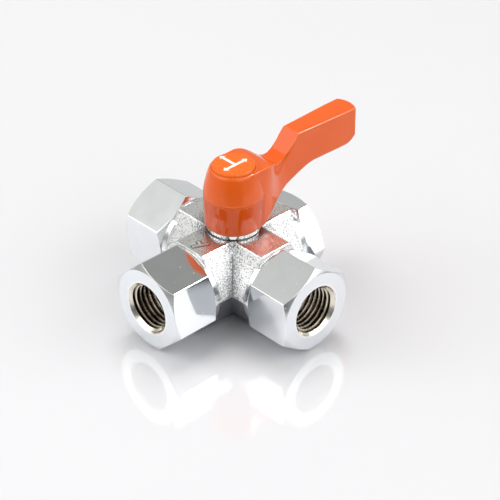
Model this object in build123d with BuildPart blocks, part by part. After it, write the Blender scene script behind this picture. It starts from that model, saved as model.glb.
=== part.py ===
from build123d import *
from math import cos, radians, sin, sqrt, tan
import os

# Compact three way ball valve: four arms, three threaded ports and one blind plug, T-port ball.
# Origin where the port axes cross, +Z up along the stem, lever handle along +Y at rest.

os.makedirs("parts", exist_ok=True)

# ---- Driving dimensions, millimetres ----

# Screwed ends, G 1/4 internal thread
ACROSS_FLATS = 21.0
PORT_FACE = 29.4  # crossing of the axes to a port's face
PLUG_FACE = 21.4  # the same for the blind plug
THREAD_MINOR_DIA = 11.445
THREAD_DEPTH = 12.0
PORT_MOUTH_R = 6.9
HEX_FACE_R = 10.35  # turned circle left by the chamfer on a hexagon's face
HEX_CHAMFER_ANGLE = 30.0
WATERWAY_R = 3.6

# Forged body
ARM_FACE = 16.0  # the face that each hexagon seats on
FLAT_HEIGHT = 11.16  # top and bottom flats above and below the parting plane
FLAT_HALF_WIDTH = 4.87
PARTING_HALF_WIDTH = 10.8
COLLAR_R = 10.4
COLLAR_START = 14.3
FORGED_EDGE_R = 0.7
CHAMBER_R = 7.7
ARM_THREAD_R = 8.25
ARM_THREAD_START = 9.5
BONNET_R = 5.2

# Ball and seats
BALL_R = 7.5
SEAT_GAP = 0.05  # running clearance between ball and seat
SEAT_OUTER_R = 5.6
SEAT_TIP = 5.75
SEAT_BACK = 10.0
SLOT_WIDTH = 3.1
SLOT_FLOOR = 5.5

# Shank of a screwed end
FIT_GAP = 0.05
SHANK_R = ARM_THREAD_R - FIT_GAP
NOSE_R = 6.9
NOSE_START = 7.4
END_GROOVE_START = 13.6
END_GROOVE_WIDTH = 1.4
END_GROOVE_R = 7.0

# Stem, thrust washer and gland nut, heights along Z
STEM_R = 3.0
TANG_WIDTH = 3.0
TANG_LENGTH = 8.4
TANG_BOTTOM = 5.7
SHOULDER_R = 4.6
SHOULDER_BOTTOM = 7.9
SHOULDER_TOP = 9.0
WASHER_TOP = 9.5
WASHER_R = 4.95
STEM_STEP = 15.2  # end of the round stem, where the handle's web rests
STEM_SQUARE = 4.4
STEM_TOP = 20.9
STEM_GROOVE_R = 2.25
STEM_GROOVES = (10.5, 12.9)
STEM_GROOVE_WIDTH = 0.96
GLAND_FOOT_R = 6.5
GLAND_FOOT_TOP = 11.5
GLAND_FLANGE_R = 7.0
GLAND_FLANGE_TOP = 12.45
GLAND_FLANGE_EDGE = 0.15
GLAND_NECK_R = 4.6
GLAND_NECK_TOP = 14.9
GLAND_GROOVE_BOTTOM = 10.2
GLAND_GROOVE_R = 4.3

# Handle screw
SCREW_R = 1.5
SCREW_HOLE_BOTTOM = 15.6
SCREW_BOTTOM = 16.0
SCREW_HEAD_R = 2.75
SCREW_HEAD_HEIGHT = 3.0
SCREW_HEAD_EDGE = 0.3
SCREW_SOCKET_FLATS = 2.5
SCREW_SOCKET_DEPTH = 1.5
SPRING_WASHER_R = 2.9
SPRING_WASHER_THICKNESS = 0.7
SPRING_WASHER_SPLIT = 0.4
SPRING_WASHER_SPLIT_ANGLE = 20.0  # the split is cut askew

# Handle hub, radii and heights
HUB_BOTTOM = 12.6
HUB_BOTTOM_R = 7.4
HUB_BELT = 21.0
HUB_BELT_R = 7.65
HUB_WAIST = 25.0
HUB_WAIST_R = 7.05
HUB_SHOULDER = 28.1
HUB_SHOULDER_R = 6.15
HUB_TOP = 28.6
HUB_EDGE = 0.4
HUB_SKIRT_R = 5.3
HUB_WEB_TOP = 21.5
SCREW_WELL_R = 4.0
CAP_SEAT = 27.2

# Indicator cap
CAP_R = 5.5
CAP_TOP = 29.3
CAP_EDGE_R = 0.5
CAP_SPIGOT_R = 3.9
CAP_SPIGOT_BORE_R = 3.1
CAP_SPIGOT_BOTTOM = 25.7

# Lever seen from above: half widths, and where the root starts and stops narrowing.
# The root is wide and narrows late at the top, and narrows in a long sweep at the bottom.
ROOT_TOP_HALF_WIDTH = 5.9
ROOT_TOP_NARROWING = (6.5, 13.3)
ROOT_BOTTOM_HALF_WIDTH = 7.1
ROOT_BOTTOM_NARROWING = (0.5, 19.0)
NECK_HALF_WIDTH = 2.75
PADDLE_HALF_WIDTH = 3.4
PADDLE_WIDENED = 35.0  # the paddle has its full width from here out

# Lever seen from the side: distances along +Y from the stem axis, and heights
LEVER_TOP = 28.4
LEVER_TOP_END = 5.0
TOP_FALL = (10.0, 26.75)
TOP_DIP = (12.3, 25.3)
TOP_RISE = (16.0, 26.8)
CREASE_DIRECTION = (0.72, 0.7)  # how steeply the top runs up into the paddle
PADDLE_START = 19.85
PADDLE_TOP = 30.83
PADDLE_TOP_DROP = 0.35  # from the crease to the tip
PADDLE_END = 40.75
PADDLE_END_BULGE = 1.1
PADDLE_BOTTOM = 20.75
PADDLE_BOTTOM_START = 26.0
PADDLE_CORNER_R = 4.6
UNDERSIDE_PADDLE_END = (20.6, 19.4)
UNDERSIDE_MIDDLE = (15.8, 17.5)
UNDERSIDE_LOW = (10.0, 15.2)
UNDERSIDE_ROOT = 4.8
UNDERSIDE_ROOT_DIRECTION = (-0.8, -0.6)
PADDLE_EDGE_R = 0.35
PADDLE_RIM_BAND = 2.0  # rims lie within this height of the paddle's top or bottom

# Cast flow mark on the top of the front arm: a bar with a stub on its middle
MARK_CENTRE = (0.95, -12.05)
MARK_TILT = 66.4
MARK_LENGTH = 4.2
MARK_STUB = 1.8
MARK_LINE = 0.45
MARK_HEIGHT = 0.2

# Gaps that only keep neighbouring pieces or coordinates apart
RING_GAP = 0.01
SAME = 0.01

UP = Vector(0, 0, 1)

# Each arm: its outward direction, a horizontal direction across it, and the angle above that
# direction at which a corner of its hexagon stopped when it was screwed home.
ARMS = {
    "front": (Vector(0, -1, 0), Vector(1, 0, 0), 42.6),
    "right": (Vector(1, 0, 0), Vector(0, -1, 0), 31.6),
    "left": (Vector(-1, 0, 0), Vector(0, -1, 0), 26.8),
    "back": (Vector(0, 1, 0), Vector(1, 0, 0), 1.7),
}


def arm_plane(arm):
    """Plane through the origin facing out along an arm, with its x towards a hexagon corner."""
    outward, across, angle = ARMS[arm]
    corner = across * cos(radians(angle)) + UP * sin(radians(angle))
    return Plane(origin=(0, 0, 0), x_dir=corner, z_dir=outward)


def half_section(arm):
    """Plane that holds an arm's axis: local x runs out along the arm, local y is the radius."""
    facing = arm_plane(arm)
    return Plane(origin=(0, 0, 0), x_dir=facing.z_dir, z_dir=facing.x_dir)


def arm_axis(arm):
    return Axis((0, 0, 0), ARMS[arm][0])


def save(part, name):
    part.label = name
    export_step(part, f"parts/{name}.step")


# ---- Forged body ----


def arm_outline():
    """Six-sided section of an arm, widest at the parting plane."""
    Polygon(
        (FLAT_HALF_WIDTH, FLAT_HEIGHT),
        (-FLAT_HALF_WIDTH, FLAT_HEIGHT),
        (-PARTING_HALF_WIDTH, 0),
        (-FLAT_HALF_WIDTH, -FLAT_HEIGHT),
        (FLAT_HALF_WIDTH, -FLAT_HEIGHT),
        (PARTING_HALF_WIDTH, 0),
        align=None,
    )


with BuildPart() as valve_body:
    with BuildSketch(Plane.XZ):
        arm_outline()
    extrude(amount=ARM_FACE - FORGED_EDGE_R, both=True)
    with BuildSketch(Plane.YZ):
        arm_outline()
    extrude(amount=ARM_FACE - FORGED_EDGE_R, both=True)
    forged_rims = valve_body.edges().filter_by(GeomType.LINE).filter_by(
        lambda edge: abs(abs(edge.center().Z) - FLAT_HEIGHT) < SAME
        and max(abs(edge.center().X), abs(edge.center().Y)) < ARM_FACE - 2 * FORGED_EDGE_R
    )
    fillet(forged_rims, FORGED_EDGE_R)
    # turned collars at the arm faces
    for arm in ARMS:
        with BuildSketch(arm_plane(arm).offset(COLLAR_START)):
            Circle(COLLAR_R)
        extrude(amount=ARM_FACE - COLLAR_START)
    with BuildSketch(Plane.XY.offset(FLAT_HEIGHT)):
        with Locations(MARK_CENTRE):
            Rectangle(MARK_LENGTH, MARK_LINE, rotation=MARK_TILT)
            Rectangle(MARK_LINE, MARK_STUB, rotation=MARK_TILT, align=(Align.CENTER, Align.MIN))
    extrude(amount=MARK_HEIGHT)
    # machined chamber, arm threads and bonnet bore
    for arm in ARMS:
        with BuildSketch(arm_plane(arm)):
            Circle(CHAMBER_R)
        extrude(amount=ARM_FACE, mode=Mode.SUBTRACT)
        with BuildSketch(arm_plane(arm).offset(ARM_THREAD_START)):
            Circle(ARM_THREAD_R)
        extrude(amount=ARM_FACE - ARM_THREAD_START, mode=Mode.SUBTRACT)
    with BuildSketch(Plane.XY):
        Circle(BONNET_R)
    extrude(amount=FLAT_HEIGHT, mode=Mode.SUBTRACT)
save(valve_body.part, "valve_body")


# ---- Screwed ends: three ports and the blind plug ----


def screwed_end(arm, face, is_port):
    """Hexagon head, threaded shank and seat pocket; a port also has its thread and waterway."""
    setback = (ACROSS_FLATS / sqrt(3) - HEX_FACE_R) * tan(radians(HEX_CHAMFER_ANGLE))
    beyond = 0.1  # carries the turned envelope past the corners
    envelope_r = HEX_FACE_R + (setback + beyond) / tan(radians(HEX_CHAMFER_ANGLE))
    with BuildPart() as end:
        with BuildSketch(arm_plane(arm).offset(ARM_FACE)):
            RegularPolygon(ACROSS_FLATS / 2, 6, major_radius=False)
        extrude(amount=face - ARM_FACE)
        with BuildSketch(half_section(arm)):
            Polygon(
                (ARM_FACE, 0),
                (ARM_FACE, HEX_FACE_R),
                (ARM_FACE + setback + beyond, envelope_r),
                (face - setback - beyond, envelope_r),
                (face, HEX_FACE_R),
                (face, 0),
                align=None,
            )
        revolve(axis=arm_axis(arm), mode=Mode.INTERSECT)
        # shank with its O-ring groove
        with BuildSketch(half_section(arm)):
            Polygon(
                (NOSE_START, 0),
                (NOSE_START, NOSE_R),
                (ARM_THREAD_START, NOSE_R),
                (ARM_THREAD_START, SHANK_R),
                (END_GROOVE_START, SHANK_R),
                (END_GROOVE_START, END_GROOVE_R),
                (END_GROOVE_START + END_GROOVE_WIDTH, END_GROOVE_R),
                (END_GROOVE_START + END_GROOVE_WIDTH, SHANK_R),
                (ARM_FACE, SHANK_R),
                (ARM_FACE, 0),
                align=None,
            )
        revolve(axis=arm_axis(arm))
        # pocket for the ball seat
        with BuildSketch(arm_plane(arm).offset(NOSE_START)):
            Circle(SEAT_OUTER_R + FIT_GAP)
        extrude(amount=SEAT_BACK - NOSE_START, mode=Mode.SUBTRACT)
        if is_port:
            minor_r = THREAD_MINOR_DIA / 2
            thread_end = face - THREAD_DEPTH
            mouth = PORT_MOUTH_R - minor_r
            with BuildSketch(half_section(arm)):
                Polygon(
                    (SEAT_BACK, 0),
                    (SEAT_BACK, WATERWAY_R),
                    (thread_end - minor_r + WATERWAY_R, WATERWAY_R),
                    (thread_end, minor_r),
                    (face - mouth, minor_r),
                    (face, PORT_MOUTH_R),
                    (face, 0),
                    align=None,
                )
            revolve(axis=arm_axis(arm), mode=Mode.SUBTRACT)
    return end.part


for arm in ("front", "right", "left"):
    save(screwed_end(arm, PORT_FACE, True), f"{arm}_port_end")
save(screwed_end("back", PLUG_FACE, False), "blind_plug")


# ---- Ball seats and end O-rings ----


def ball_seat(arm):
    """PTFE ring whose inner face follows the ball, a running clearance away from it."""
    face_r = BALL_R + SEAT_GAP
    inner = sqrt(face_r**2 - WATERWAY_R**2)
    lip = sqrt(face_r**2 - SEAT_TIP**2)
    with BuildPart() as seat:
        with BuildSketch(half_section(arm)):
            with BuildLine():
                RadiusArc((inner, WATERWAY_R), (SEAT_TIP, lip), -face_r)
                Polyline(
                    (SEAT_TIP, lip),
                    (SEAT_TIP, SEAT_OUTER_R),
                    (SEAT_BACK, SEAT_OUTER_R),
                    (SEAT_BACK, WATERWAY_R),
                    (inner, WATERWAY_R),
                )
            make_face()
        revolve(axis=arm_axis(arm))
    return seat.part


def end_o_ring(arm):
    """O-ring in the shank's groove, sealing the screwed end in its arm."""
    cord_r = (ARM_THREAD_R - END_GROOVE_R) / 2 - RING_GAP
    with BuildPart() as ring:
        with BuildSketch(half_section(arm)):
            with Locations((END_GROOVE_START + END_GROOVE_WIDTH / 2, (ARM_THREAD_R + END_GROOVE_R) / 2)):
                Circle(cord_r)
        revolve(axis=arm_axis(arm))
    return ring.part


for arm in ARMS:
    save(ball_seat(arm), f"{arm}_ball_seat")
    save(end_o_ring(arm), f"{arm}_o_ring")


# ---- Ball: straight run along Y, branch towards -X, slot for the stem's tang ----

with BuildPart() as ball:
    Sphere(BALL_R)
    with BuildSketch(Plane.XZ):
        Circle(WATERWAY_R)
    extrude(amount=BALL_R, both=True, mode=Mode.SUBTRACT)
    with BuildSketch(Plane.YZ):
        Circle(WATERWAY_R)
    extrude(amount=-BALL_R, mode=Mode.SUBTRACT)
    with BuildSketch(Plane.XY.offset(SLOT_FLOOR)):
        Rectangle(SLOT_WIDTH, 2 * BALL_R)
    extrude(amount=BALL_R, mode=Mode.SUBTRACT)
save(ball.part, "ball")


# ---- Stem and its seals ----

with BuildPart() as stem:
    with BuildSketch(Plane.XY.offset(TANG_BOTTOM)):
        Rectangle(TANG_WIDTH, TANG_LENGTH)
    extrude(amount=SHOULDER_BOTTOM - TANG_BOTTOM)
    with BuildSketch(Plane.XY.offset(SHOULDER_BOTTOM)):
        Circle(SHOULDER_R)
    extrude(amount=SHOULDER_TOP - SHOULDER_BOTTOM)
    with BuildSketch(Plane.XY.offset(SHOULDER_TOP)):
        Circle(STEM_R)
    extrude(amount=STEM_STEP - SHOULDER_TOP)
    with BuildSketch(Plane.XY.offset(STEM_STEP)):
        Rectangle(STEM_SQUARE, STEM_SQUARE)
        Circle(STEM_R, mode=Mode.INTERSECT)
    extrude(amount=STEM_TOP - STEM_STEP)
    for bottom in STEM_GROOVES:
        with BuildSketch(Plane.XY.offset(bottom)):
            Circle(STEM_R)
            Circle(STEM_GROOVE_R, mode=Mode.SUBTRACT)
        extrude(amount=STEM_GROOVE_WIDTH, mode=Mode.SUBTRACT)
    with BuildSketch(Plane.XY.offset(STEM_TOP)):
        Circle(SCREW_R)
    extrude(amount=SCREW_HOLE_BOTTOM - STEM_TOP, mode=Mode.SUBTRACT)
save(stem.part, "stem")

with BuildPart() as thrust_washer:
    with BuildSketch(Plane.XY.offset(SHOULDER_TOP)):
        Circle(WASHER_R)
        Circle(STEM_R + FIT_GAP, mode=Mode.SUBTRACT)
    extrude(amount=WASHER_TOP - SHOULDER_TOP)
save(thrust_washer.part, "thrust_washer")


def axial_o_ring(height, inner_r, outer_r):
    """O-ring about the stem axis that just fits between two radii."""
    cord_r = (outer_r - inner_r) / 2 - RING_GAP
    with BuildPart() as ring:
        with BuildSketch(Plane.XZ):
            with Locations(((inner_r + outer_r) / 2, height)):
                Circle(cord_r)
        revolve(axis=Axis.Z)
    return ring.part


for side, bottom in zip(("lower", "upper"), STEM_GROOVES):
    middle = bottom + STEM_GROOVE_WIDTH / 2
    save(axial_o_ring(middle, STEM_GROOVE_R, STEM_R + FIT_GAP), f"stem_o_ring_{side}")


# ---- Gland nut: flange seen under the handle, shank in the body, neck inside the hub ----

with BuildPart() as gland_nut:
    with BuildSketch(Plane.XY.offset(WASHER_TOP)):
        Circle(BONNET_R - FIT_GAP)
    extrude(amount=FLAT_HEIGHT - WASHER_TOP)
    with BuildSketch(Plane.XY.offset(FLAT_HEIGHT)):
        Circle(GLAND_FOOT_R)
    extrude(amount=GLAND_FOOT_TOP - FLAT_HEIGHT)
    with BuildSketch(Plane.XY.offset(GLAND_FOOT_TOP)):
        Circle(GLAND_FLANGE_R)
    flange = extrude(amount=GLAND_FLANGE_TOP - GLAND_FOOT_TOP)
    chamfer(flange.edges().group_by(Axis.Z)[-1], GLAND_FLANGE_EDGE)
    with BuildSketch(Plane.XY.offset(GLAND_FLANGE_TOP)):
        Circle(GLAND_NECK_R)
    extrude(amount=GLAND_NECK_TOP - GLAND_FLANGE_TOP)
    with BuildSketch(Plane.XY.offset(GLAND_GROOVE_BOTTOM)):
        Circle(BONNET_R)
        Circle(GLAND_GROOVE_R, mode=Mode.SUBTRACT)
    extrude(amount=FLAT_HEIGHT - GLAND_GROOVE_BOTTOM, mode=Mode.SUBTRACT)
    with BuildSketch(Plane.XY.offset(WASHER_TOP)):
        Circle(STEM_R + FIT_GAP)
    extrude(amount=GLAND_NECK_TOP - WASHER_TOP, mode=Mode.SUBTRACT)
save(gland_nut.part, "gland_nut")
save(axial_o_ring((GLAND_GROOVE_BOTTOM + FLAT_HEIGHT) / 2, GLAND_GROOVE_R, BONNET_R), "gland_o_ring")


# ---- Lever handle ----


def lever_plan(height, root_half_width, narrowing):
    """Outline of the lever seen from above: root, neck and a paddle with a bulged end."""
    start, stop = narrowing
    corner = PADDLE_END - PADDLE_END_BULGE
    with BuildSketch(Plane.XY.offset(height)) as plan:
        with BuildLine():
            for side in (1, -1):
                Line((0, 0), (side * root_half_width, 0))
                Line((side * root_half_width, 0), (side * root_half_width, start))
                Spline(
                    (side * root_half_width, start),
                    (side * NECK_HALF_WIDTH, stop),
                    tangents=((0, 1), (0, 1)),
                )
                Polyline(
                    (side * NECK_HALF_WIDTH, stop),
                    (side * NECK_HALF_WIDTH, PADDLE_START),
                    (side * PADDLE_HALF_WIDTH, PADDLE_WIDENED),
                    (side * PADDLE_HALF_WIDTH, corner),
                )
            ThreePointArc((PADDLE_HALF_WIDTH, corner), (0, PADDLE_END), (-PADDLE_HALF_WIDTH, corner))
        make_face()
    return plan.sketch


LOWER_PLAN = lever_plan(HUB_BOTTOM, ROOT_BOTTOM_HALF_WIDTH, ROOT_BOTTOM_NARROWING)
UPPER_PLAN = lever_plan(PADDLE_TOP, ROOT_TOP_HALF_WIDTH, ROOT_TOP_NARROWING)

with BuildPart() as lever_handle:
    loft([LOWER_PLAN.face(), UPPER_PLAN.face()], ruled=True)
    # side view of the lever: down to a dip behind the hub, then up to the paddle
    with BuildSketch(Plane.YZ):
        with BuildLine():
            Polyline((UNDERSIDE_ROOT, HUB_BOTTOM), (0, HUB_BOTTOM), (0, LEVER_TOP), (LEVER_TOP_END, LEVER_TOP))
            Spline(
                (LEVER_TOP_END, LEVER_TOP),
                TOP_FALL,
                TOP_DIP,
                TOP_RISE,
                (PADDLE_START, PADDLE_TOP),
                tangents=((1, 0), CREASE_DIRECTION),
            )
            Polyline(
                (PADDLE_START, PADDLE_TOP),
                (PADDLE_END, PADDLE_TOP - PADDLE_TOP_DROP),
                (PADDLE_END, PADDLE_BOTTOM + PADDLE_CORNER_R),
            )
            RadiusArc(
                (PADDLE_END, PADDLE_BOTTOM + PADDLE_CORNER_R),
                (PADDLE_END - PADDLE_CORNER_R, PADDLE_BOTTOM),
                PADDLE_CORNER_R,
            )
            Line((PADDLE_END - PADDLE_CORNER_R, PADDLE_BOTTOM), (PADDLE_BOTTOM_START, PADDLE_BOTTOM))
            Spline(
                (PADDLE_BOTTOM_START, PADDLE_BOTTOM),
                UNDERSIDE_PADDLE_END,
                UNDERSIDE_MIDDLE,
                UNDERSIDE_LOW,
                (UNDERSIDE_ROOT, HUB_BOTTOM),
                tangents=((-1, 0), UNDERSIDE_ROOT_DIRECTION),
            )
        make_face()
    extrude(amount=HUB_BELT_R, both=True, mode=Mode.INTERSECT)
    paddle_rims = lever_handle.edges().filter_by(
        lambda edge: edge.center().Y > PADDLE_START
        and abs(edge.center().X) > NECK_HALF_WIDTH / 2
        and not PADDLE_BOTTOM + PADDLE_RIM_BAND < edge.center().Z < PADDLE_TOP - PADDLE_RIM_BAND
    )
    fillet(paddle_rims, PADDLE_EDGE_R)
    # hub: slight flare up to the belt, then a rounded taper to the shoulder
    with BuildSketch(Plane.XZ):
        with BuildLine():
            Polyline((0, HUB_TOP), (0, HUB_BOTTOM), (HUB_BOTTOM_R, HUB_BOTTOM), (HUB_BELT_R, HUB_BELT))
            ThreePointArc((HUB_BELT_R, HUB_BELT), (HUB_WAIST_R, HUB_WAIST), (HUB_SHOULDER_R, HUB_SHOULDER))
            Polyline((HUB_SHOULDER_R, HUB_SHOULDER), (HUB_SHOULDER_R - HUB_EDGE, HUB_TOP), (0, HUB_TOP))
        make_face()
    revolve(axis=Axis.Z)
    # skirt over the gland neck, square drive, screw well and cap seat
    with BuildSketch(Plane.XY.offset(HUB_BOTTOM)):
        Circle(HUB_SKIRT_R)
    extrude(amount=STEM_STEP - HUB_BOTTOM, mode=Mode.SUBTRACT)
    with BuildSketch(Plane.XY.offset(STEM_STEP)):
        Rectangle(STEM_SQUARE + 2 * FIT_GAP, STEM_SQUARE + 2 * FIT_GAP)
        Circle(STEM_R + FIT_GAP, mode=Mode.INTERSECT)
    extrude(amount=HUB_WEB_TOP - STEM_STEP, mode=Mode.SUBTRACT)
    with BuildSketch(Plane.XY.offset(HUB_WEB_TOP)):
        Circle(SCREW_WELL_R)
    extrude(amount=HUB_TOP - HUB_WEB_TOP, mode=Mode.SUBTRACT)
    with BuildSketch(Plane.XY.offset(CAP_SEAT)):
        Circle(CAP_R + FIT_GAP)
    extrude(amount=HUB_TOP - CAP_SEAT, mode=Mode.SUBTRACT)
save(lever_handle.part, "lever_handle")


# ---- Screw, washer and indicator cap ----

HEAD_BOTTOM = HUB_WEB_TOP + SPRING_WASHER_THICKNESS

with BuildPart() as spring_washer:
    with BuildSketch(Plane.XY.offset(HUB_WEB_TOP)):
        Circle(SPRING_WASHER_R)
        Circle(SCREW_R + FIT_GAP, mode=Mode.SUBTRACT)
        with Locations((SPRING_WASHER_R / 2 + SCREW_R / 2, 0)):
            Rectangle(
                SPRING_WASHER_R,
                SPRING_WASHER_SPLIT,
                rotation=SPRING_WASHER_SPLIT_ANGLE,
                mode=Mode.SUBTRACT,
            )
    extrude(amount=SPRING_WASHER_THICKNESS)
save(spring_washer.part, "spring_washer")

with BuildPart() as handle_screw:
    with BuildSketch(Plane.XY.offset(SCREW_BOTTOM)):
        Circle(SCREW_R - FIT_GAP)
    extrude(amount=HEAD_BOTTOM - SCREW_BOTTOM)
    with BuildSketch(Plane.XY.offset(HEAD_BOTTOM)):
        Circle(SCREW_HEAD_R)
    head = extrude(amount=SCREW_HEAD_HEIGHT)
    chamfer(head.edges().group_by(Axis.Z)[-1], SCREW_HEAD_EDGE)
    with BuildSketch(Plane.XY.offset(HEAD_BOTTOM + SCREW_HEAD_HEIGHT)):
        RegularPolygon(SCREW_SOCKET_FLATS / 2, 6, major_radius=False)
    extrude(amount=-SCREW_SOCKET_DEPTH, mode=Mode.SUBTRACT)
save(handle_screw.part, "handle_screw")

with BuildPart() as indicator_cap:
    with BuildSketch(Plane.XY.offset(CAP_SEAT)):
        Circle(CAP_R)
    disc = extrude(amount=CAP_TOP - CAP_SEAT)
    fillet(disc.edges().group_by(Axis.Z)[-1], CAP_EDGE_R)
    with BuildSketch(Plane.XY.offset(CAP_SPIGOT_BOTTOM)):
        Circle(CAP_SPIGOT_R)
        Circle(CAP_SPIGOT_BORE_R, mode=Mode.SUBTRACT)
    extrude(amount=CAP_SEAT - CAP_SPIGOT_BOTTOM)
save(indicator_cap.part, "indicator_cap")
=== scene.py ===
import math

import bmesh
import bpy
import numpy as np
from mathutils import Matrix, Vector, noise


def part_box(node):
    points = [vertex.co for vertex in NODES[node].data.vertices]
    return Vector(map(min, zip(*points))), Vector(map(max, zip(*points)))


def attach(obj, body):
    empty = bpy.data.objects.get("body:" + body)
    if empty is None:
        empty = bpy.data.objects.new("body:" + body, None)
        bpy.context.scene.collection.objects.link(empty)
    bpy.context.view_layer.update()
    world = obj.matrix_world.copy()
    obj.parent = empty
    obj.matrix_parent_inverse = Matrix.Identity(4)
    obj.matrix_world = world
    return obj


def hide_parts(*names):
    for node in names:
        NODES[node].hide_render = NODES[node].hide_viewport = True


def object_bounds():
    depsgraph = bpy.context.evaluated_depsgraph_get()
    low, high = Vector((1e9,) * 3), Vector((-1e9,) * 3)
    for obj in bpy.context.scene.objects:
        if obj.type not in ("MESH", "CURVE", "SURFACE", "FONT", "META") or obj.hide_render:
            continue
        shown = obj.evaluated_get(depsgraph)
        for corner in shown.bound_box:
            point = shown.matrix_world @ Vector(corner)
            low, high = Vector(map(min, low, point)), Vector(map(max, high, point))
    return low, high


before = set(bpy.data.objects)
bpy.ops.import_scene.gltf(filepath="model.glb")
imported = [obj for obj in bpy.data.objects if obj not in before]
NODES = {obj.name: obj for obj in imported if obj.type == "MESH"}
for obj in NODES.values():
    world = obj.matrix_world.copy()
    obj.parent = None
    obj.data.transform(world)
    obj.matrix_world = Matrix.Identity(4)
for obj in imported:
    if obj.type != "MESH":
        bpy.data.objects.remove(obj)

# Compact three way ball valve. Metres, origin where the port axes cross, +Z up, lever along +Y.

MM = 0.001
CAD_BOX = [list(corner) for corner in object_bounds()]

# ---- Dimensions the looks need, millimetres ----

FLATS = 21.0
HEX_FACE_R = 10.35
CHAMFER = math.radians(30)
CORNER_R = 0.22  # rounding of a hexagon's corners
CREASE_R = 0.12  # rounding where a facet meets the turned chamfer
RIM_R = 0.15
ARM_FACE = 16.0
MOUTH_R = 6.9
MINOR_R = 5.7225
MAJOR_R = 6.5785
PITCH = 1.337
THREAD_DEPTH = 12.0
RUNOUT = 1.6
SNAP = 0.001  # thread rows closer than this to the mouth join its rim
WATERWAY_R = 3.6
SHANK_R = 8.2
NOSE_R = 6.9
NOSE_START = 7.4
SHANK_START = 9.5
GROOVE_START = 13.6
GROOVE_END = 15.0
GROOVE_R = 7.0
SEAT_POCKET_R = 5.65
SEAT_BACK = 10.0
COLLAR_START = 14.3
COLLAR_R = 10.4

ARMS = {
    "front": (Vector((0, -1, 0)), Vector((1, 0, 0))),
    "right": (Vector((1, 0, 0)), Vector((0, -1, 0))),
    "left": (Vector((-1, 0, 0)), Vector((0, -1, 0))),
    "back": (Vector((0, 1, 0)), Vector((1, 0, 0))),
}
UP = Vector((0, 0, 1))


# ---- Procedural surfaces ----


def set_range(node, low, high, at_low, at_high):
    """A Map Range node's limits."""
    node.inputs["From Min"].default_value = low
    node.inputs["From Max"].default_value = high
    node.inputs["To Min"].default_value = at_low
    node.inputs["To Max"].default_value = at_high


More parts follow.
